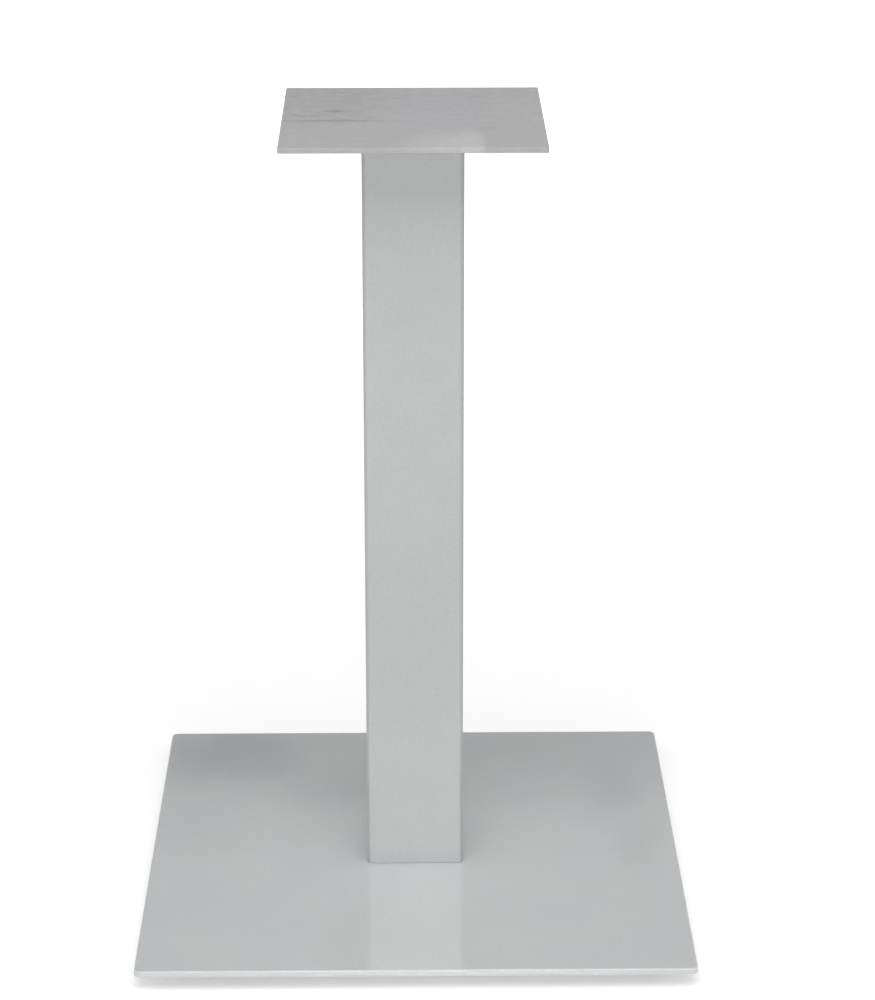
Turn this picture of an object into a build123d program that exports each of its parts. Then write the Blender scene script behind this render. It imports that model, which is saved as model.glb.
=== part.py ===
from build123d import *
from math import cos, radians, tan
import os

# A square pedestal base for one table. A flat square steel plate lies just above the floor on four
# levelling glides. A square steel tube stands on its middle and carries a smaller square plate,
# welded on, that the table top rests on. The tube has a thick flange welded inside its foot, and
# four countersunk screws from under the base plate hold it. Each glide is a screw stud that turns
# in a round plastic pad and in a nut welded under the plate.
# Millimetres, +Z up, the origin on the floor under the middle of the column, the front towards -Y.

# Driving sizes
TOTAL_HEIGHT = 730.0
BASE_SIDE = 500.0
BASE_THICKNESS = 6.0
COLUMN_SIDE = 90.0
COLUMN_WALL = 2.0
TOP_SIDE = 230.0
TOP_THICKNESS = 5.0

# Corners and edges of the sheared and rolled steel
BASE_CORNER_RADIUS = 6.0
BASE_TOP_EDGE_RADIUS = 1.5
BASE_UNDER_EDGE_RADIUS = 0.6
COLUMN_CORNER_RADIUS = 2 * COLUMN_WALL
COLUMN_FOOT_EDGE_RADIUS = 0.6
TOP_CORNER_RADIUS = 1.2
TOP_EDGE_RADIUS = 0.6

# The M8 thread, drawn as a plain cylinder at its pitch diameter
THREAD_RADIUS = 7.188 / 2
THREAD_CLEARANCE = 0.04
TAPPED_RADIUS = THREAD_RADIUS + THREAD_CLEARANCE

# Flange inside the foot of the column, with a vent for the coating to drain
FLANGE_THICKNESS = 10.0
FLANGE_SIDE = COLUMN_SIDE - 2 * COLUMN_WALL
FLANGE_CORNER_RADIUS = 3.0
FLANGE_VENT_RADIUS = 10.0

# Countersunk socket screws M8 x 16 with a 90 degree cone, and their holes in the base plate
SCREW_SPACING = 50.0
SCREW_LENGTH = 16.0
SCREW_HEAD_RADIUS = 8.0
SCREW_RIM = 0.4
SCREW_NECK_RADIUS = 4.0
SCREW_TIP_CHAMFER = 0.8
SCREW_SOCKET_WIDTH = 5.0
SCREW_SOCKET_DEPTH = 2.8
SCREW_HOLE_RADIUS = 4.3
HEAD_SUNK_BY = 0.2

# Nut of a glide, welded under the base plate
GLIDE_INSET = 45.0
NUT_WIDTH = 13.0
NUT_HEIGHT = 6.5
NUT_MOUTH_RADIUS = 4.3
HEX_CORNER_ANGLE = radians(30)
HEX_OVERRUN = 0.5

# Pad of a glide, with the socket that its stud turns in
PAD_RADIUS = 14.0
PAD_HEIGHT = 4.6
PAD_SHOULDER_HEIGHT = 2.4
PAD_TOP_RADIUS = 10.5
PAD_FOOT_CHAMFER = 0.8
SOCKET_FLOOR = 1.6
SOCKET_HEIGHT = 1.4
SOCKET_SIDE_GAP = 0.3

# Stud of a glide: swivel flange in the socket, neck, hexagon collar for a spanner, thread
SWIVEL_RADIUS = 6.5
SWIVEL_THICKNESS = 1.2
SWIVEL_GAP = 0.1
STUD_NECK_RADIUS = 4.0
COLLAR_WIDTH = 13.0
COLLAR_THICKNESS = 2.25
COLLAR_GAP = 0.05
STUD_LENGTH = 6.2
STUD_TIP_CHAMFER = 0.7

# Levels, worked out upwards from the floor with the glides screwed right in
COLLAR_BOTTOM = PAD_HEIGHT + SWIVEL_GAP
COLLAR_TOP = COLLAR_BOTTOM + COLLAR_THICKNESS
NUT_BOTTOM = COLLAR_TOP + COLLAR_GAP
BASE_BOTTOM = NUT_BOTTOM + NUT_HEIGHT
BASE_TOP = BASE_BOTTOM + BASE_THICKNESS
TOP_BOTTOM = TOTAL_HEIGHT - TOP_THICKNESS
COLUMN_LENGTH = TOP_BOTTOM - BASE_TOP

# Places of the four screws and of the four glides, front left first and then round
QUARTERS = [(-1, -1), (1, -1), (1, 1), (-1, 1)]
SCREW_PLACES = [(i * SCREW_SPACING / 2, j * SCREW_SPACING / 2) for i, j in QUARTERS]
GLIDE_REACH = BASE_SIDE / 2 - GLIDE_INSET
GLIDE_PLACES = [(i * GLIDE_REACH, j * GLIDE_REACH) for i, j in QUARTERS]


def turned(points):
    """A body turned on the lathe: a closed outline of (radius, height) points, spun about Z."""
    return revolve(make_face(Plane.XZ * Polyline(*points, close=True)), Axis.Z)


def hexagon_bar(width, height):
    """A hexagon bar of that width across its flats, with the corners of both ends turned off."""
    flat_radius = width / 2
    corner_radius = flat_radius / cos(HEX_CORNER_ANGLE)
    # The turned cones run on a little past the bar's corners
    reach = corner_radius + HEX_OVERRUN - flat_radius
    drop = reach * tan(HEX_CORNER_ANGLE)
    envelope = turned(
        [
            (0, 0),
            (flat_radius, 0),
            (flat_radius + reach, drop),
            (flat_radius + reach, height - drop),
            (flat_radius, height),
            (0, height),
        ]
    )
    bar = extrude(RegularPolygon(flat_radius, 6, major_radius=False), amount=height)
    return bar & envelope


def base_plate():
    """The floor plate: rounded corners, a soft upper edge, and four holes countersunk from below."""
    plate = extrude(
        RectangleRounded(BASE_SIDE, BASE_SIDE, BASE_CORNER_RADIUS), amount=BASE_THICKNESS
    )
    plate = fillet(plate.faces().sort_by(Axis.Z)[-1].edges(), BASE_TOP_EDGE_RADIUS)
    plate = fillet(plate.faces().sort_by(Axis.Z)[0].edges(), BASE_UNDER_EDGE_RADIUS)
    sink_radius = SCREW_HEAD_RADIUS + SCREW_RIM + HEAD_SUNK_BY
    hole = turned(
        [
            (0, 0),
            (sink_radius, 0),
            (SCREW_HOLE_RADIUS, sink_radius - SCREW_HOLE_RADIUS),
            (SCREW_HOLE_RADIUS, BASE_THICKNESS),
            (0, BASE_THICKNESS),
        ]
    )
    for x, y in SCREW_PLACES:
        plate -= Pos(x, y, 0) * hole
    return Pos(0, 0, BASE_BOTTOM) * plate


def column_tube():
    """Cold-formed square tube, its outer foot edge rounded off where it meets the base plate."""
    outside = RectangleRounded(COLUMN_SIDE, COLUMN_SIDE, COLUMN_CORNER_RADIUS)
    inside = RectangleRounded(FLANGE_SIDE, FLANGE_SIDE, COLUMN_CORNER_RADIUS - COLUMN_WALL)
    bar = extrude(outside, amount=COLUMN_LENGTH)
    bar = fillet(bar.faces().sort_by(Axis.Z)[0].edges(), COLUMN_FOOT_EDGE_RADIUS)
    return Pos(0, 0, BASE_TOP) * (bar - extrude(inside, amount=COLUMN_LENGTH))


def column_flange():
    """Thick square flange inside the foot of the tube: four tapped holes round the vent."""
    flange = extrude(
        RectangleRounded(FLANGE_SIDE, FLANGE_SIDE, FLANGE_CORNER_RADIUS), amount=FLANGE_THICKNESS
    )
    middle = FLANGE_THICKNESS / 2
    flange -= Pos(0, 0, middle) * Cylinder(FLANGE_VENT_RADIUS, FLANGE_THICKNESS)
    for x, y in SCREW_PLACES:
        flange -= Pos(x, y, middle) * Cylinder(TAPPED_RADIUS, FLANGE_THICKNESS)
    return Pos(0, 0, BASE_TOP) * flange


def top_plate():
    """The plate that carries the table top: plain, with nearly sharp corners and eased edges."""
    plate = extrude(RectangleRounded(TOP_SIDE, TOP_SIDE, TOP_CORNER_RADIUS), amount=TOP_THICKNESS)
    faces = plate.faces().sort_by(Axis.Z)
    plate = fillet(faces[0].edges() + faces[-1].edges(), TOP_EDGE_RADIUS)
    return Pos(0, 0, TOP_BOTTOM) * plate


def flange_screw():
    """Countersunk screw, head down, with a hexagon socket. Its cone seats in the base plate."""
    cone_top = SCREW_RIM + SCREW_HEAD_RADIUS - SCREW_NECK_RADIUS
    screw = turned(
        [
            (0, 0),
            (SCREW_HEAD_RADIUS, 0),
            (SCREW_HEAD_RADIUS, SCREW_RIM),
            (SCREW_NECK_RADIUS, cone_top),
            (THREAD_RADIUS, cone_top),
            (THREAD_RADIUS, SCREW_LENGTH - SCREW_TIP_CHAMFER),
            (THREAD_RADIUS - SCREW_TIP_CHAMFER, SCREW_LENGTH),
            (0, SCREW_LENGTH),
        ]
    )
    key_hole = RegularPolygon(SCREW_SOCKET_WIDTH / 2, 6, major_radius=False)
    screw -= extrude(key_hole, amount=SCREW_SOCKET_DEPTH)
    return Pos(0, 0, BASE_BOTTOM + HEAD_SUNK_BY) * screw


def glide_nut():
    """Hexagon nut with a tapped bore that opens out at both faces."""
    mouth_depth = NUT_MOUTH_RADIUS - TAPPED_RADIUS
    bore = turned(
        [
            (0, 0),
            (NUT_MOUTH_RADIUS, 0),
            (TAPPED_RADIUS, mouth_depth),
            (TAPPED_RADIUS, NUT_HEIGHT - mouth_depth),
            (NUT_MOUTH_RADIUS, NUT_HEIGHT),
            (0, NUT_HEIGHT),
        ]
    )
    return Pos(0, 0, NUT_BOTTOM) * (hexagon_bar(NUT_WIDTH, NUT_HEIGHT) - bore)


def glide_stud():
    """Screw stud with a spanner collar and a round swivel flange that stays caught in the pad."""
    swivel_bottom = SOCKET_FLOOR + SWIVEL_GAP
    swivel_top = swivel_bottom + SWIVEL_THICKNESS
    tip = COLLAR_TOP + STUD_LENGTH
    spindle = turned(
        [
            (0, swivel_bottom),
            (SWIVEL_RADIUS, swivel_bottom),
            (SWIVEL_RADIUS, swivel_top),
            (STUD_NECK_RADIUS, swivel_top),
            (STUD_NECK_RADIUS, COLLAR_BOTTOM),
            (THREAD_RADIUS, COLLAR_BOTTOM),
            (THREAD_RADIUS, tip - STUD_TIP_CHAMFER),
            (THREAD_RADIUS - STUD_TIP_CHAMFER, tip),
            (0, tip),
        ]
    )
    return spindle + Pos(0, 0, COLLAR_BOTTOM) * hexagon_bar(COLLAR_WIDTH, COLLAR_THICKNESS)


def glide_pad():
    """Moulded round pad with a sloping shoulder, and the socket that holds the stud's flange."""
    body = turned(
        [
            (0, 0),
            (PAD_RADIUS - PAD_FOOT_CHAMFER, 0),
            (PAD_RADIUS, PAD_FOOT_CHAMFER),
            (PAD_RADIUS, PAD_SHOULDER_HEIGHT),
            (PAD_TOP_RADIUS, PAD_HEIGHT),
            (0, PAD_HEIGHT),
        ]
    )
    socket_radius = SWIVEL_RADIUS + SOCKET_SIDE_GAP
    mouth_radius = STUD_NECK_RADIUS + SOCKET_SIDE_GAP
    socket = turned(
        [
            (0, SOCKET_FLOOR),
            (socket_radius, SOCKET_FLOOR),
            (socket_radius, SOCKET_FLOOR + SOCKET_HEIGHT),
            (mouth_radius, SOCKET_FLOOR + SOCKET_HEIGHT),
            (mouth_radius, PAD_HEIGHT),
            (0, PAD_HEIGHT),
        ]
    )
    return body - socket


def main():
    nodes = {
        "base_plate": base_plate(),
        "column_tube": column_tube(),
        "column_flange": column_flange(),
        "top_plate": top_plate(),
    }
    for name, piece, places in (
        ("flange_screw", flange_screw(), SCREW_PLACES),
        ("glide_nut", glide_nut(), GLIDE_PLACES),
        ("glide_stud", glide_stud(), GLIDE_PLACES),
        ("glide_pad", glide_pad(), GLIDE_PLACES),
    ):
        for number, (x, y) in enumerate(places, start=1):
            nodes[f"{name}_{number}"] = Pos(x, y, 0) * piece
    os.makedirs("parts", exist_ok=True)
    for name, shape in nodes.items():
        export_step(shape, f"parts/{name}.step")


main()
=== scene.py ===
import math

import bpy
import numpy as np
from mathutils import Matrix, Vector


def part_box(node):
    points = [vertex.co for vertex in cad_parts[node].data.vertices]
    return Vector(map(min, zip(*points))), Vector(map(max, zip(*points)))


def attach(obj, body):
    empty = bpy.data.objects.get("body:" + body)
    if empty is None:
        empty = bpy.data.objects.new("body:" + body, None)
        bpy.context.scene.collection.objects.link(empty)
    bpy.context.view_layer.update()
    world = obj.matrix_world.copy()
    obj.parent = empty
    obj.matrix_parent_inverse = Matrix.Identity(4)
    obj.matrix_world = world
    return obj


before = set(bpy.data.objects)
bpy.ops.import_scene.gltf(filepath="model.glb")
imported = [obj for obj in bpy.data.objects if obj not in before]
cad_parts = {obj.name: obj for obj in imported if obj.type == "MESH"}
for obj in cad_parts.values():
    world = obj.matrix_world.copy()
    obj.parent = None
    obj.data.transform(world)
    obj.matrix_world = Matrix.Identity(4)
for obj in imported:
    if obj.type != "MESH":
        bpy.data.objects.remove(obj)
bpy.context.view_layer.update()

# Base plate
# Laser-cut steel sheet, 6 mm thick, with rounded corners and a soft upper edge. It is powder coated
# in light silver grey and then clear coated, so the coat lies flat enough to mirror the column.
MM = 0.001
PLATE_GREY = (0.611, 0.623, 0.632)
PLATE_IOR = 1.4
PLATE_CLEAR_COAT = 1.0
PLATE_CLEAR_COAT_IOR = 2.0
PLATE_ROUGHNESS = 0.30
# Painted highlight: the edge tint lightens the base plate's rounded edge and sides.
PLATE_EDGE_HIGHLIGHT_TINT = (1.06, 1.06, 1.05, 1)
# Painted dark reflection: the darker tint at the back left corner.
PLATE_DARK_REFLECTION_TINT = (0.90, 0.90, 0.91, 1)
# Painted reflection: the greener tint where the column's reflection lies at the front.
PLATE_REFLECTION_GREEN_TINT = (0.987, 0.987, 0.970, 1)
# A mark on a plate: its centre in x and y, its half width and half depth in mm, and its strength
PLATE_PAINTED_DARK_REFLECTION = (-180, 195, 92, 88, 1.0)
PLATE_PAINTED_GREEN_REFLECTION = (0, -215, 95, 130, 1.0)
PLATE_RAGGED = 0.6


class Socket:
    """One shader socket. Arithmetic on it adds Math nodes, and put() adds any other node."""

    def __init__(self, tree, end=None):
        self.tree = tree
        self.end = end

    def put(self, kind, settings=None, sockets=None, out=0):
        """A new node of that kind: its settings first, then a value or a link for each socket."""
        node = self.tree.nodes.new(kind)
        for name, value in (settings or {}).items():
            if name == "stops":
                set_stops(node.color_ramp, value)
            else:
                setattr(node, name, value)
        for key, value in (sockets or {}).items():
            if isinstance(value, Socket):
                self.tree.links.new(value.end, node.inputs[key])
            else:
                node.inputs[key].default_value = value
        return Socket(self.tree, node.outputs[out]) if node.outputs else None

    def maths(self, operation, first=None, second=0.0):
        """A Math node on two values, or on this one alone."""
        first = self if first is None else first
        return self.put("ShaderNodeMath", {"operation": operation}, {0: first, 1: second})

    def __add__(self, other):
        return self.maths("ADD", self, other)

    def __radd__(self, other):
        return self.maths("ADD", other, self)

    def __sub__(self, other):
        return self.maths("SUBTRACT", self, other)

    def __rsub__(self, other):
        return self.maths("SUBTRACT", other, self)

    def __mul__(self, other):
        return self.maths("MULTIPLY", self, other)

    def __rmul__(self, other):
        return self.maths("MULTIPLY", other, self)

    def smooth(self, low, high):
        """0 below low, 1 above high, and a smooth step between them."""
        span = {"Value": self, "From Min": low, "From Max": high}
        return self.put("ShaderNodeMapRange", {"interpolation_type": "SMOOTHSTEP"}, span)


def set_stops(ramp, stops):
    """Gives a colour ramp its (place, grey level) stops."""
    while len(ramp.elements) < len(stops):
        ramp.elements.new(1.0)
    for element, (place, level) in zip(ramp.elements, stops):
        element.position = place
        element.color = (level, level, level, 1)


def mix_colour(share, first, second, blend="MIX"):
    """The first colour where share is 0, and the second, or their blend, where it is 1."""
    settings = {"data_type": "RGBA", "blend_type": blend}
    return share.put("ShaderNodeMix", settings, {0: share, 6: first, 7: second}, out=2)


def vector_maths(operation, vector, second=(0, 0, 0), out=0):
    """A Vector Math node on one vector or two."""
    return vector.put("ShaderNodeVectorMath", {"operation": operation}, {0: vector, 1: second}, out)


def axis_of(place, axis):
    """The X, Y or Z of a place, as axis 0, 1 or 2."""
    return place.put("ShaderNodeSeparateXYZ", None, {0: place}, out=axis)


def new_material(name):
    """An empty node material, and a Socket to start its tree from."""
    material = bpy.data.materials.new(name)
    material.use_nodes = True
    material.node_tree.nodes.clear()
    return material, Socket(material.node_tree)


def noise(place, wavelength, detail=2.0, roughness=0.5):
    """Soft noise from 0 to 1 whose lumps are about one wavelength, in metres, apart."""
    sockets = {"Vector": place, "Scale": 1 / wavelength, "Detail": detail, "Roughness": roughness}
    return place.put("ShaderNodeTexNoise", None, sockets)


def tinted(grey, tint, level=1.0):
    """A grey times a tint and a level, as a colour with its alpha."""
    return tuple(part * colour * level for part, colour in zip(grey, tint)) + (1,)


def bump(height, distance, under=None):
    """Relief of a height from 0 to 1 times a distance, on top of the relief under it."""
    sockets = {"Strength": 1.0, "Distance": distance, "Height": height}
    if under:
        sockets["Normal"] = under
    return height.put("ShaderNodeBump", None, sockets)


def finish_surface(start, sockets):
    """A Principled surface with these sockets, as the material's output."""
    surface = start.put("ShaderNodeBsdfPrincipled", None, sockets)
    start.put("ShaderNodeOutputMaterial", None, {"Surface": surface})


CLOUD_SIZE = 75 * MM
CLOUD_SHARE = 1.4
CLOUD_DULLING = 0.05
FLECK_SIZE = 3.2 * MM
FLECK_SHARE = 1.9
TONE_DEPTH = 0.030
DARK_TINT = (0.996, 0.999, 1.007)
LIGHT_TINT = (1.000, 1.003, 0.992)
PEEL_SIZE = 2.4 * MM
PEEL_HEIGHT = 0.0012 * MM
GRAIN_SIZE = 0.35 * MM
GRAIN_HEIGHT = 0.00018 * MM
CLEAR_COAT_ROUGHNESS = 0.025
CLEAR_COAT_IOR = 1.5
EDGE_DULLING = 0.12


def powder_coat(name, grey, ior, clear_coat, clear_coat_ior, roughness, marks):
    """Sprayed and baked powder: clouds and flecks in its tone, an orange-peel skin and a fine grain.

    Where the powder lies thicker it is lighter and a little greener. marks turns the place on the
    piece into the tints that it carries, each with its mask, and into the mask of its dull parts."""
    material, start = new_material(name)
    place = start.put("ShaderNodeTexCoord", out=3)
    clouds = noise(place, CLOUD_SIZE, detail=4.0, roughness=0.72)
    flecks = noise(place, FLECK_SIZE, detail=3.0)
    thickness = 0.5 + CLOUD_SHARE * (clouds - 0.5) + FLECK_SHARE * (flecks - 0.5)
    dark = tinted(grey, DARK_TINT, 1 - TONE_DEPTH)
    light = tinted(grey, LIGHT_TINT, 1 + TONE_DEPTH)
    tone = mix_colour(thickness.smooth(0, 1), dark, light)
    tints, dull = marks(place)
    for mask, tint in tints:
        tone = mix_colour(mask, tone, tint, "MULTIPLY")
    shine = roughness + CLOUD_DULLING * clouds + EDGE_DULLING * dull
    skin = bump(noise(place, PEEL_SIZE), PEEL_HEIGHT)
    skin = bump(noise(place, GRAIN_SIZE, detail=1.0), GRAIN_HEIGHT, skin)
    sockets = {"Base Color": tone, "Roughness": shine, "IOR": ior, "Normal": skin}
    sockets |= {"Coat Weight": clear_coat * (1 - dull), "Coat Roughness": CLEAR_COAT_ROUGHNESS}
    sockets |= {"Coat IOR": clear_coat_ior}
    finish_surface(start, sockets)
    return material


def finish_node(name, material):
    """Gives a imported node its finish."""
    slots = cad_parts[name].data.materials
    slots.clear()
    slots.append(material)


EDGE_START = 0.02 * MM
EDGE_FULL = 0.16 * MM
UNDERSIDE_END = 0.2 * MM
SIDE_START = 1.2 * MM
MARK_CORE = 0.35
MARK_END = 1.1


def edge_under(place, face):
    """1 on the rounded edge and the sides under an upper face at that height, and 0 on the face."""
    return 1 - axis_of(place, 2).smooth(face - EDGE_FULL, face - EDGE_START)


def off_underside(place, underside):
    """0 on an underside at that height, and 1 from a little way up the sides."""
    return axis_of(place, 2).smooth(underside + UNDERSIDE_END, underside + SIDE_START)


def smear(place, ragged, mark):
    """A soft ellipse: the mark's strength in its core, ragged at its edge and 0 past its end."""
    x, y, half_width, half_depth, strength = mark
    apart = vector_maths("SUBTRACT", place, (x * MM, y * MM, 0))
    apart = vector_maths("MULTIPLY", apart, (1 / (half_width * MM), 1 / (half_depth * MM), 0))
    distance = vector_maths("LENGTH", apart, out=1) + ragged
    return strength * (1 - distance.smooth(MARK_CORE, MARK_END))


def plate_marks(place):
    """The base plate's dull edges with a painted highlight, its painted dark reflection at the back corner,
    and the green tint painted where the column's reflection lies at its front.
    """
    ragged = PLATE_RAGGED * (noise(place, CLOUD_SIZE) - 0.5)
    above = off_underside(place, plate_low.z)
    # Painted dark reflection at the back corner.
    darker = smear(place, ragged, PLATE_PAINTED_DARK_REFLECTION) * above
    # Green tint painted where the column's reflection lies.
    greener = smear(place, ragged, PLATE_PAINTED_GREEN_REFLECTION) * above
    # The rounded edge is dull and carries a painted highlight.
    edge = edge_under(place, plate_high.z)
    return [(edge, PLATE_EDGE_HIGHLIGHT_TINT), (darker, PLATE_DARK_REFLECTION_TINT), (greener, PLATE_REFLECTION_GREEN_TINT)], edge


plate_low, plate_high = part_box("base_plate")
plate_coat = powder_coat(
    "plate_powder_coat",
    PLATE_GREY,
    PLATE_IOR,
    PLATE_CLEAR_COAT,
    PLATE_CLEAR_COAT_IOR,
    PLATE_ROUGHNESS,
    plate_marks,
)
finish_node("base_plate", plate_coat)

# Column
# Cold-formed square steel tube, 90 x 90 x 2 mm. It is coated in the same silver grey, a little
# greener and less glossy. Its flange, welded inside its foot, is coated with it.
TUBE_GREY = (0.498, 0.509, 0.505)
TUBE_IOR = 1.45
TUBE_CLEAR_COAT = 0.0
TUBE_ROUGHNESS = 0.28
# Painted shade: the corner tint darkens the column's rounded corners.
TUBE_CORNER_SHADE_TINT = (0.86, 0.86, 0.87, 1)
# Painted shade: the foot tint, a darker bluish band at the column's foot.
FOOT_SHADE_TINT = (0.950, 0.943, 0.965, 1)
# Painted contact shadow along the column's lowest edge.
CONTACT_SHADE_TINT = (0.90, 0.90, 0.91, 1)
CORNER_START = 3.7 * MM
CORNER_FULL = 1.4 * MM
FOOT_FULL = 7 * MM
FOOT_END = 21 * MM
CONTACT_SHADE_FULL = 0.5 * MM
CONTACT_SHADE_END = 1.8 * MM


def tube_marks(place):
    """The column's rounded corners darkened with painted shade, a darker bluish band of painted shade at its
    foot, and painted contact shadow along its lowest edge.
    """
    across = axis_of(place, 0).maths("ABSOLUTE")
    along = axis_of(place, 1).maths("ABSOLUTE")
    nearer = across.maths("MINIMUM", across, along)
    # Painted shade on the rounded corners.
    corner = nearer.smooth(tube_high.x - CORNER_START, tube_high.x - CORNER_FULL)
    height = axis_of(place, 2) - tube_low.z
    # Painted shade in a band at the foot.
    foot = 1 - height.smooth(FOOT_FULL, FOOT_END)
    # Painted contact shadow along the lowest edge.
    contact_shade = 1 - height.smooth(CONTACT_SHADE_FULL, CONTACT_SHADE_END)
    return [(corner, TUBE_CORNER_SHADE_TINT), (foot, FOOT_SHADE_TINT), (contact_shade, CONTACT_SHADE_TINT)], corner


tube_low, tube_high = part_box("column_tube")
tube_coat = powder_coat(
    "tube_powder_coat",
    TUBE_GREY,
    TUBE_IOR,
    TUBE_CLEAR_COAT,
    CLEAR_COAT_IOR,
    TUBE_ROUGHNESS,
    tube_marks,
)
finish_node("column_tube", tube_coat)
finish_node("column_flange", tube_coat)

# Top plate
# Sheared steel plate, 5 mm thick, with nearly sharp corners, in a neutral grey coat. Its left half
# has a darker streak with slanted strokes and a spot behind it. Its top carries painted reflections
# and painted shade, and its rounded edge and sides painted shade.
TOP_GREY = (0.474, 0.473, 0.475)
TOP_IOR = 1.55
TOP_CLEAR_COAT = 0.35
TOP_ROUGHNESS = 0.33
# Painted shade on the top plate's rounded edge and sides.
TOP_EDGE_SHADE_TINT = (0.86, 0.86, 0.86, 1)
# The streak tint darkens a streak, spots and slanted strokes, mostly on the left half.
STREAK_TINT = (0.76, 0.76, 0.765, 1)
# The darker tint carries the grain and mottle together with painted shade and a painted dark reflection.
MOTTLE_AND_PAINTED_SHADE_TINT = (0.72, 0.72, 0.73, 1)
# Painted light reflections at the front of the top plate.
PAINTED_LIGHT_REFLECTION_TINT = (1.24, 1.23, 1.22, 1)
# Painted cool reflection a little right of the middle.
PAINTED_COOL_REFLECTION_TINT = (0.955, 0.97, 1.06, 1)
STREAK = (-74, -15.8, 62, 4.4, 1.15)
SPOTS = [
    (-70, 20.5, 11, 6.5, 0.9),
    (-99, 3, 15, 6.0, 0.6),
    (64, -44.5, 15, 3.6, 0.6),
    (56, 76, 15, 4.0, 0.4),
]
STROKE_PATCH = (-62, 3, 50, 24, 0.48)
# Painted dark reflection at the back left.
TOP_PAINTED_DARK_REFLECTION = (-90, 75, 95, 105, 0.36)
# Painted light reflections at the front.
TOP_PAINTED_LIGHT_REFLECTIONS = [(34, -112, 54, 66, 0.75), (48, -88, 16, 40, 0.45)]
# Painted cool reflection.
TOP_PAINTED_COOL_REFLECTION = (26, 18, 62, 66, 0.65)
LIGHTER_ZONE_START = 58 * MM
LIGHTER_ZONE_END = 64 * MM
RAGGED_SIZE = 8 * MM
RAGGED = 0.8
DARKER_RAGGED = 0.36
LIGHTER_RAGGED = 0.24
STROKE_LEAN = 0.55
STROKE_STRETCH = 0.12
STROKE_SIZE = 5 * MM
STROKE_CONTRAST = (0.42, 0.62)
GRAIN_ALONG = 60 * MM
GRAIN_ACROSS = 3.4 * MM
GRAIN_SHARE = 0.175
MOTTLE_SIZE = 9 * MM
MOTTLE_SHARE = 0.35
MOTTLE_LEAST = 0.5
MOTTLE_LEAST_AT = -90 * MM
MOTTLE_FULL_AT = 10 * MM
MOTTLE_IN_DARKER = 0.3
CONTRAST = (0.30, 0.70)
# Painted shade darkening the plate towards the back.
PAINTED_BACK_SHADE_SHARE = 0.12
BACK_START = -20 * MM
BACK_FULL = 110 * MM


def slanted_strokes(place):
    """Fine strokes that lean back to the left: noise drawn out along one slanted direction."""
    leaning = axis_of(place, 1) + STROKE_LEAN * axis_of(place, 0)
    stretched = STROKE_STRETCH * axis_of(place, 0)
    strokes = place.put("ShaderNodeCombineXYZ", None, {0: stretched, 1: leaning})
    return noise(strokes, STROKE_SIZE, roughness=0.6).smooth(*STROKE_CONTRAST)


def top_marks(place):
    """The top plate's darker streak, spots and strokes, its grain and mottle, its painted dark, light and
    cool reflections, and painted shade towards its back and on its edges.
    """
    x, y = axis_of(place, 0), axis_of(place, 1)
    uneven = noise(place, RAGGED_SIZE, detail=3.0, roughness=0.6) - 0.5
    ragged = RAGGED * uneven
    # A darker streak, spots and slanted strokes, mostly on the left half.
    streaks_and_spots = smear(place, ragged, STREAK) + smear(place, ragged, STROKE_PATCH) * slanted_strokes(place)
    for spot in SPOTS:
        streaks_and_spots = streaks_and_spots + smear(place, ragged, spot)
    stretched = vector_maths("MULTIPLY", place, (GRAIN_ACROSS / GRAIN_ALONG, 1, 1))
    grain = noise(stretched, GRAIN_ACROSS, detail=3.0, roughness=0.6).smooth(*CONTRAST)
    mottle = noise(place, MOTTLE_SIZE, detail=3.0, roughness=0.6).smooth(*CONTRAST)
    depth = MOTTLE_LEAST + (1 - MOTTLE_LEAST) * y.smooth(MOTTLE_LEAST_AT, MOTTLE_FULL_AT)
    # Painted dark reflection, with grain, mottle and painted shade towards the back added to it.
    darker = smear(place, DARKER_RAGGED * uneven, TOP_PAINTED_DARK_REFLECTION)
    darker = darker * (1 - MOTTLE_IN_DARKER + MOTTLE_IN_DARKER * mottle)
    darker = darker + GRAIN_SHARE * grain + MOTTLE_SHARE * (0.5 + depth * (mottle - 0.5))
    darker = darker + PAINTED_BACK_SHADE_SHARE * y.smooth(BACK_START, BACK_FULL)
    # Painted light reflections, cut off at the right.
    wide, narrow = (smear(place, LIGHTER_RAGGED * uneven, zone) for zone in TOP_PAINTED_LIGHT_REFLECTIONS)
    lighter = (wide + narrow) * (1 - x.smooth(LIGHTER_ZONE_START, LIGHTER_ZONE_END))
    # Painted cool reflection.
    painted_cool_reflection = smear(place, ragged, TOP_PAINTED_COOL_REFLECTION)
    tints = [(darker, MOTTLE_AND_PAINTED_SHADE_TINT), (lighter, PAINTED_LIGHT_REFLECTION_TINT), (painted_cool_reflection, PAINTED_COOL_REFLECTION_TINT), (streaks_and_spots, STREAK_TINT)]
    above = off_underside(place, top_low.z)
    tints = [(mask * above, tint) for mask, tint in tints]
    # The rounded edge and sides carry painted shade and are dull.
    edge = edge_under(place, top_high.z)
    return tints + [(edge, TOP_EDGE_SHADE_TINT)], edge.maths("MAXIMUM", edge, streaks_and_spots * above)


top_low, top_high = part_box("top_plate")
top_coat = powder_coat(
    "top_powder_coat",
    TOP_GREY,
    TOP_IOR,
    TOP_CLEAR_COAT,
    CLEAR_COAT_IOR,
    TOP_ROUGHNESS,
    top_marks,
)
finish_node("top_plate", top_coat)

# Weld under the top plate
# One run of fillet weld joins the tube to the plate above it. It is drawn in short pulls that
# leave ripples, and is coated with the tube.
TUBE_CORNER = 4 * MM
TOP_WELD_LEG = 3.6 * MM
TOP_WELD_PULL = 2.1 * MM
WELD_SUNK = 0.3 * MM
WELD_BULGE = 1.3
WELD_RIPPLE = 0.10
WELD_BOW = 0.35
POINTS_A_PULL = 10
POINTS_ACROSS = 13


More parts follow.
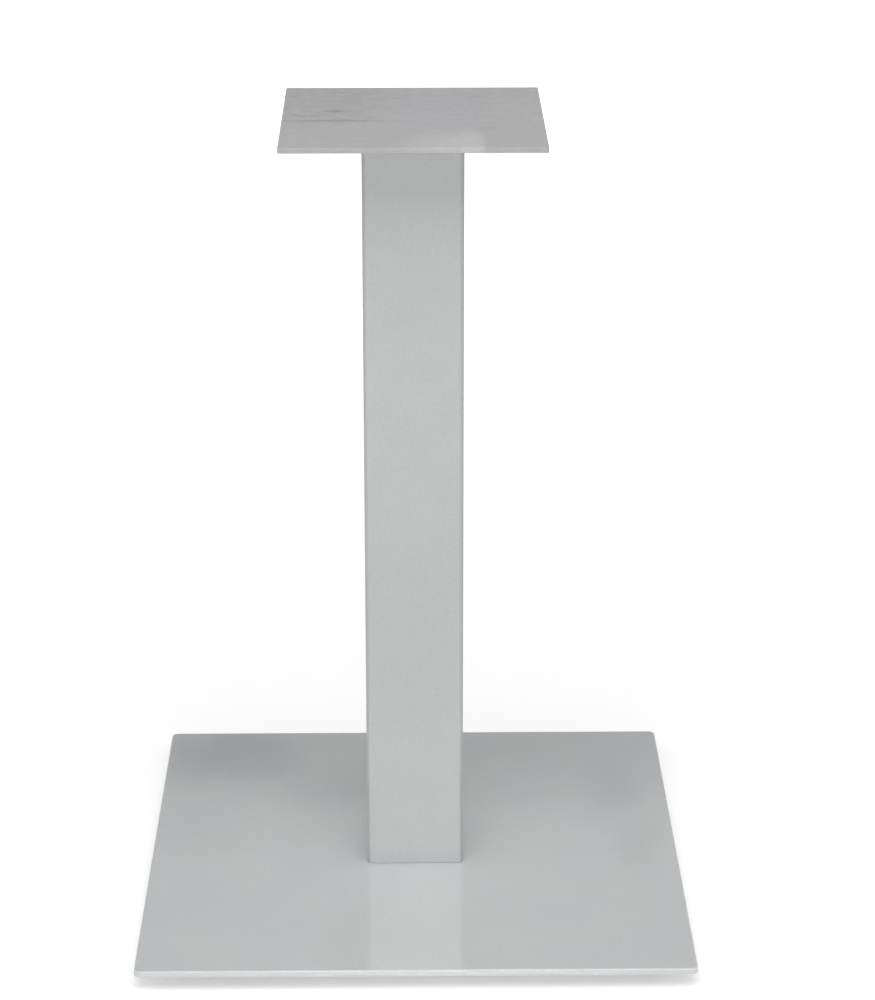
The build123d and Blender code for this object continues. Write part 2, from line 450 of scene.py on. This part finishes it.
def round_polygon(sides, first_turn, flat_radius, corner_radius, spacing):
    """Evenly spaced points and outward normals on a regular polygon with round corners.

    The walk is by arc length: a straight along the flat, then an arc, turned by each side's angle."""
    straight = 2 * (flat_radius - corner_radius) * math.tan(math.pi / sides)
    arc = corner_radius * 2 * math.pi / sides
    length = sides * (straight + arc)
    steps = round(length / spacing)
    walked = np.arange(steps) / steps * length
    side = np.floor(walked / (straight + arc))
    along = walked - side * (straight + arc)
    bend = np.clip(along - straight, 0, None) / corner_radius
    x = flat_radius - corner_radius + corner_radius * np.cos(bend)
    y = np.minimum(along, straight) - straight / 2 + corner_radius * np.sin(bend)
    turn = first_turn + side * 2 * math.pi / sides
    points = np.stack([x * np.cos(turn) - y * np.sin(turn), x * np.sin(turn) + y * np.cos(turn)], 1)
    normals = np.stack([np.cos(turn + bend), np.sin(turn + bend)], 1)
    return points, normals, walked, length


def grid_mesh(name, points, close_ends=False):
    """A mesh from points[row, column, 3], joined round both ways, or capped at its end rows."""
    rows, columns = points.shape[:2]
    joins = rows - 1 if close_ends else rows
    row, column = np.meshgrid(np.arange(joins), np.arange(columns), indexing="ij")
    next_row, next_column = (row + 1) % rows, (column + 1) % columns
    corners = [row * columns + column, row * columns + next_column]
    corners += [next_row * columns + next_column, next_row * columns + column]
    faces = np.stack(corners, -1).reshape(-1, 4).tolist()
    if close_ends:
        faces.append(list(range(columns))[::-1])
        faces.append(list(range((rows - 1) * columns, rows * columns)))
    mesh = bpy.data.meshes.new(name)
    mesh.from_pydata(points.reshape(-1, 3), [], faces)
    mesh.update()
    mesh.shade_smooth()
    return mesh


def add_piece(name, mesh, material, body):
    """Puts a finished mesh in the scene and lets it ride on a body."""
    piece = bpy.data.objects.new(name, mesh)
    bpy.context.scene.collection.objects.link(piece)
    mesh.materials.append(material)
    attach(piece, body)


def weld_run(name, sides, first_turn, flat_radius, corner_radius, centre, height, leg, pull):
    """Fillet weld in the corner between an upright wall and the plate above it.

    Its section is a superellipse quarter, closed through the steel, carried round the polygon. The
    ripples swell it by the cosine of the length walked over one pull, bowed back at the toes."""
    outline = round_polygon(sides, first_turn, flat_radius, corner_radius, pull / POINTS_A_PULL)
    path, normal, walked, length = outline
    swing = np.linspace(0, math.pi / 2, POINTS_ACROSS)
    sunk = -WELD_SUNK / leg
    out = np.append(np.cos(swing) ** (2 / WELD_BULGE), [sunk, sunk, 1.0])
    down = np.append(np.sin(swing) ** (2 / WELD_BULGE), [1.0, sunk, sunk])
    pulls = walked[:, None] * round(length / pull) / length
    bow = WELD_BOW * np.append(np.sin(2 * swing), [0, 0, 0])[None, :]
    ripple = 1 + WELD_RIPPLE / 2 * np.cos(2 * math.pi * (pulls + bow))
    ripple[:, POINTS_ACROSS:] = 1
    reach = leg * out * ripple
    points = np.empty((len(path), len(out), 3))
    points[:, :, 0] = centre[0] + path[:, :1] + normal[:, :1] * reach
    points[:, :, 1] = centre[1] + path[:, 1:] + normal[:, 1:] * reach
    points[:, :, 2] = height - leg * down * ripple
    return grid_mesh(name, points)


top_weld = weld_run(
    "top_weld", 4, 0, tube_high.x, TUBE_CORNER, (0, 0), tube_high.z, TOP_WELD_LEG, TOP_WELD_PULL
)
add_piece("top_weld", top_weld, tube_coat, "pedestal")

# Flange screws
# Countersunk steel screws with a hexagon socket, bright zinc plated, driven from under the base
# plate into the flange. Their rolled threads are a ridge round the plain shank.
ZINC = (0.55, 0.57, 0.60)
ZINC_DARK = 0.88
ZINC_LIGHT = 1.08
ZINC_PATCH_SIZE = 4 * MM
PATCH_CONTRAST = (0.35, 0.65)
TUMBLED_SIZE = 0.6 * MM
TUMBLED_HEIGHT = 0.004 * MM
ZINC_ROUGHNESS = 0.26
TUMBLED_DULLING = 0.14
THREAD_PITCH = 1.25 * MM
THREAD_CREST = 3.93 * MM
THREAD_ROOT = 3.55 * MM
THREAD_FROM_END = 0.3 * MM
THREAD_FADE = 0.5 * THREAD_PITCH
RIDGE_HEIGHT = 1.25
RIDGE_SLOPE = 2.5
POINTS_A_TURN = 48
POINTS_A_PITCH = 12
SCREW_HEAD_HEIGHT = 4.6 * MM


def zinc_plate():
    """Bright zinc: blue-white metal with soft patches and fine marks of rolling and tumbling."""
    material, start = new_material("bright_zinc")
    place = start.put("ShaderNodeTexCoord", out=3)
    patches = noise(place, ZINC_PATCH_SIZE, detail=3.0)
    tumbled = noise(place, TUMBLED_SIZE, detail=3.0, roughness=0.7)
    dark = tinted(ZINC, DARK_TINT, ZINC_DARK)
    light = tinted(ZINC, LIGHT_TINT, ZINC_LIGHT)
    tone = mix_colour(patches.smooth(*PATCH_CONTRAST), dark, light)
    shine = ZINC_ROUGHNESS + TUMBLED_DULLING * tumbled
    skin = bump(tumbled, TUMBLED_HEIGHT)
    finish_surface(start, {"Base Color": tone, "Metallic": 1.0, "Roughness": shine, "Normal": skin})
    return material


def screw_thread(name, centre, low, high):
    """A rolled right-hand thread between two heights.

    The radius is a flat-topped ridge of the phase, which is height over pitch less the turn. It
    fades into the shank over the last half pitch at both ends."""
    rows = POINTS_A_PITCH * math.ceil((high - low) / THREAD_PITCH)
    turn, height = np.meshgrid(
        np.arange(POINTS_A_TURN) / POINTS_A_TURN, np.linspace(low, high, rows), indexing="xy"
    )
    phase = (height - low) / THREAD_PITCH - turn
    ridge = np.clip(RIDGE_HEIGHT - RIDGE_SLOPE * np.abs(phase - np.round(phase)), 0, 1)
    fade = np.clip(np.minimum(height - low, high - height) / THREAD_FADE, 0, 1)
    radius = THREAD_ROOT + (THREAD_CREST - THREAD_ROOT) * ridge * fade
    x = centre[0] + radius * np.cos(2 * math.pi * turn)
    y = centre[1] + radius * np.sin(2 * math.pi * turn)
    return grid_mesh(name, np.stack([x, y, height], -1), close_ends=True)


zinc = zinc_plate()
for number in range(1, 5):
    node = f"flange_screw_{number}"
    finish_node(node, zinc)
    low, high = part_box(node)
    name = f"flange_screw_thread_{number}"
    mesh = screw_thread(name, (low + high) / 2, low.z + SCREW_HEAD_HEIGHT, high.z - THREAD_FROM_END)
    add_piece(name, mesh, zinc, "pedestal")

# Glide nuts
# Plain steel nuts that the glides screw into. Each is welded under the base plate with a small
# bead, so that the plate isn't pierced, and coated with it.
NUT_WELD_LEG = 1.8 * MM
NUT_WELD_PULL = 1.3 * MM
NUT_CORNER = 0.6 * MM
QUARTER_TURN = math.pi / 2
for number in range(1, 5):
    node = f"glide_nut_{number}"
    finish_node(node, plate_coat)
    low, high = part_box(node)
    name = f"glide_nut_weld_{number}"
    mesh = weld_run(
        name,
        6,
        QUARTER_TURN,
        (high.y - low.y) / 2,
        NUT_CORNER,
        (low + high) / 2,
        high.z,
        NUT_WELD_LEG,
        NUT_WELD_PULL,
    )
    add_piece(name, mesh, plate_coat, "pedestal")

# Glide studs
# Turned steel studs with a hexagon collar, bright zinc plated. The thread above the collar runs in
# the nut, and shows where a glide is screwed out.
COLLAR_UNDER_NUT = 0.05 * MM
for number in range(1, 5):
    node = f"glide_stud_{number}"
    finish_node(node, zinc)
    low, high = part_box(node)
    collar_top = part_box(f"glide_nut_{number}")[0].z - COLLAR_UNDER_NUT
    name = f"glide_stud_thread_{number}"
    mesh = screw_thread(name, (low + high) / 2, collar_top, high.z - THREAD_FROM_END)
    add_piece(name, mesh, zinc, f"stud_{number}")

# Glide pads
# Round feet moulded in black polyamide, in which the studs turn. The mould leaves a fine, even
# grain on them.
PAD_BLACK = (0.018, 0.018, 0.020)
PAD_DARK = 0.8
PAD_LIGHT = 1.4
PAD_PATCH_SIZE = 8 * MM
PAD_GRAIN_SIZE = 0.5 * MM
PAD_GRAIN_HEIGHT = 0.02 * MM
PAD_ROUGHNESS = 0.42
PAD_DULLING = 0.16


def moulded_black():
    """Black polyamide with a spark-eroded grain and a faintly uneven shine."""
    material, start = new_material("black_polyamide")
    place = start.put("ShaderNodeTexCoord", out=3)
    patches = noise(place, PAD_PATCH_SIZE)
    dark = tinted(PAD_BLACK, DARK_TINT, PAD_DARK)
    light = tinted(PAD_BLACK, LIGHT_TINT, PAD_LIGHT)
    tone = mix_colour(patches.smooth(*CONTRAST), dark, light)
    shine = PAD_ROUGHNESS + PAD_DULLING * patches
    skin = bump(noise(place, PAD_GRAIN_SIZE), PAD_GRAIN_HEIGHT)
    finish_surface(start, {"Base Color": tone, "Roughness": shine, "Normal": skin})
    return material


polyamide = moulded_black()
for number in range(1, 5):
    finish_node(f"glide_pad_{number}", polyamide)

# Floor and studio
# A white floor that runs out to the horizon. The studio is white low down and darker above it, with
# a paler strip and the soft shapes of its furniture behind the base, which the plates mirror.
FLOOR_SIZE = 60.0
FLOOR_GREY = 0.80
FLOOR_LIFT_NEAR = 0.38
FLOOR_LIFT_FAR = 0.95
FLOOR_NEAR = 0.5
FLOOR_FAR = 2.5
# Each level: degrees above the horizon and a grey level
STUDIO_LEVELS = [
    (0, 1.0),
    (9, 0.72),
    (14, 0.37),
    (20, 0.08),
    (24.6, 0.12),
    (25.6, 0.20),
    (26.8, 0.48),
    (28, 0.27),
    (29.5, 0.22),
    (34, 0.25),
    (50, 0.21),
    (90, 0.68),
]
# Each shape: degrees to the right and up, half width and half height in degrees, level and depth
STUDIO_SHAPES = [
    (-1.1, 26.6, 1.3, 0.6, 0.66, 0.5),
    (1.6, 26.5, 2.2, 0.7, 0.66, 0.55),
    (1.8, 25.7, 1.8, 0.35, 0.42, 0.4),
    (-4.5, 26.7, 1.5, 0.8, 0.15, 0.6),
    (-4.2, 25.2, 2.3, 0.85, 0.0, 1.0),
    (-2.4, 25.7, 1.6, 0.34, 0.0, 0.35),
    (-1.2, 25.95, 1.4, 0.32, 0.0, 0.40),
    (2.9, 25.15, 3.0, 0.30, 0.0, 0.30),
    (4.35, 25.8, 0.9, 0.75, 0.0, 0.75),
    (4.9, 26.9, 0.7, 0.8, 0.0, 0.5),
]


def pale_floor():
    """Matt pale floor, lifted towards white where it is looked at, and more so further away."""
    material, start = new_material("pale_floor")
    place = start.put("ShaderNodeTexCoord", out=3)
    away = vector_maths("LENGTH", place, out=1).smooth(FLOOR_NEAR, FLOOR_FAR)
    seen = start.put("ShaderNodeLightPath", out=0)
    for ray in ("Is Glossy Ray", "Is Transmission Ray"):
        seen = seen.maths("MAXIMUM", seen, start.put("ShaderNodeLightPath", out=ray))
    lift = seen * (FLOOR_LIFT_NEAR + (FLOOR_LIFT_FAR - FLOOR_LIFT_NEAR) * away)
    matt = start.put("ShaderNodeBsdfDiffuse", None, {"Color": (FLOOR_GREY, FLOOR_GREY, FLOOR_GREY, 1)})
    glow = start.put("ShaderNodeEmission", None, {"Strength": lift})
    surface = start.put("ShaderNodeAddShader", None, {0: matt, 1: glow})
    start.put("ShaderNodeOutputMaterial", None, {"Surface": surface})
    return material


def way_to(right, up):
    """The direction that many degrees to the right of straight back, and up from the horizon."""
    right, up = math.radians(right), math.radians(up)
    return (math.sin(right) * math.cos(up), math.cos(right) * math.cos(up), math.sin(up))


def studio_world():
    """A grey level for each height above the horizon, with the soft shapes over it."""
    world = bpy.data.worlds.new("studio")
    world.use_nodes = True
    world.node_tree.nodes.clear()
    start = Socket(world.node_tree)
    direction = start.put("ShaderNodeTexCoord")
    rise = start.put("ShaderNodeSeparateXYZ", None, {0: direction}, out=2)
    stops = [(math.sin(math.radians(degrees)), level) for degrees, level in STUDIO_LEVELS]
    studio = rise.put("ShaderNodeValToRGB", {"stops": stops}, {0: rise})
    for right, up, half_width, half_height, level, depth in STUDIO_SHAPES:
        apart = vector_maths("SUBTRACT", direction, way_to(right, up))
        spread = (1 / math.radians(half_width), 1, 1 / math.radians(half_height))
        distance = vector_maths("LENGTH", vector_maths("MULTIPLY", apart, spread), out=1)
        studio = mix_colour(depth * (1 - distance.smooth(0.0, 1.0)), studio, (level, level, level, 1))
    backdrop = start.put("ShaderNodeBackground", None, {"Color": studio, "Strength": 1.0})
    start.put("ShaderNodeOutputWorld", None, {"Surface": backdrop})
    return world


half = FLOOR_SIZE / 2
floor_corners = [(-half, -half, 0), (half, -half, 0), (half, half, 0), (-half, half, 0)]
floor_mesh = bpy.data.meshes.new("floor")
floor_mesh.from_pydata(floor_corners, [], [(0, 1, 2, 3)])
floor_mesh.materials.append(pale_floor())
floor = bpy.data.objects.new("floor", floor_mesh)
bpy.context.scene.collection.objects.link(floor)
bpy.context.scene.world = studio_world()

# Lamps
# A large box above the front lights the plates and the column. Two fills stand in front of the
# column and two beside it, and a narrow beam keeps its foot as light as the rest.


def soft_box(name, place, aim, width, depth, watts, spread=180):
    """A rectangular studio lamp that faces the point it is aimed at."""
    lamp = bpy.data.lights.new(name, "AREA")
    lamp.shape = "RECTANGLE"
    lamp.size = width
    lamp.size_y = depth
    lamp.energy = watts
    lamp.spread = math.radians(spread)
    holder = bpy.data.objects.new(name, lamp)
    bpy.context.scene.collection.objects.link(holder)
    way = np.subtract(aim, place)
    holder.location = place
    holder.rotation_euler = (math.atan2(math.hypot(way[0], way[1]), -way[2]), 0, math.atan2(-way[0], way[1]))
    holder.visible_camera = False


MIDDLE = (0, 0, 0.35)
FOOT = (0, 0, 0.03)
soft_box("key", (0, -1.5, 3.2), MIDDLE, 3.4, 2.6, 68.7)
soft_box("front_fill", (0, -3.4, 1.25), MIDDLE, 2.6, 1.6, 8.5)
soft_box("low_fill", (0, -2.6, 0.35), MIDDLE, 2.4, 0.6, 8.5)
soft_box("right_fill", (2.9, 0, 1.9), MIDDLE, 2.2, 2.0, 12.6)
soft_box("left_fill", (-2.9, 0, 1.9), MIDDLE, 2.2, 2.0, 12.4)
soft_box("foot_beam", (0, -2.0, 0.42), FOOT, 0.4, 0.1, 0.042, spread=12)

# Camera
# The photograph looks down at the front from chest height, a little left of the middle.
CAMERA_PLACE = (-0.0096, -2.607, 1.342)
CAMERA_DIP = 20.448
CAMERA_TURN = -0.691
FOCAL_IN_FRAMES = 3.021
SENSOR = 36.0
lens = bpy.data.cameras.new("camera")
lens.sensor_width = SENSOR
lens.lens = FOCAL_IN_FRAMES * SENSOR
camera = bpy.data.objects.new("camera", lens)
bpy.context.scene.collection.objects.link(camera)
camera.location = CAMERA_PLACE
camera.rotation_euler = (math.radians(90 - CAMERA_DIP), 0, math.radians(CAMERA_TURN))
bpy.context.scene.camera = camera
bpy.context.scene.view_settings.view_transform = "Standard"
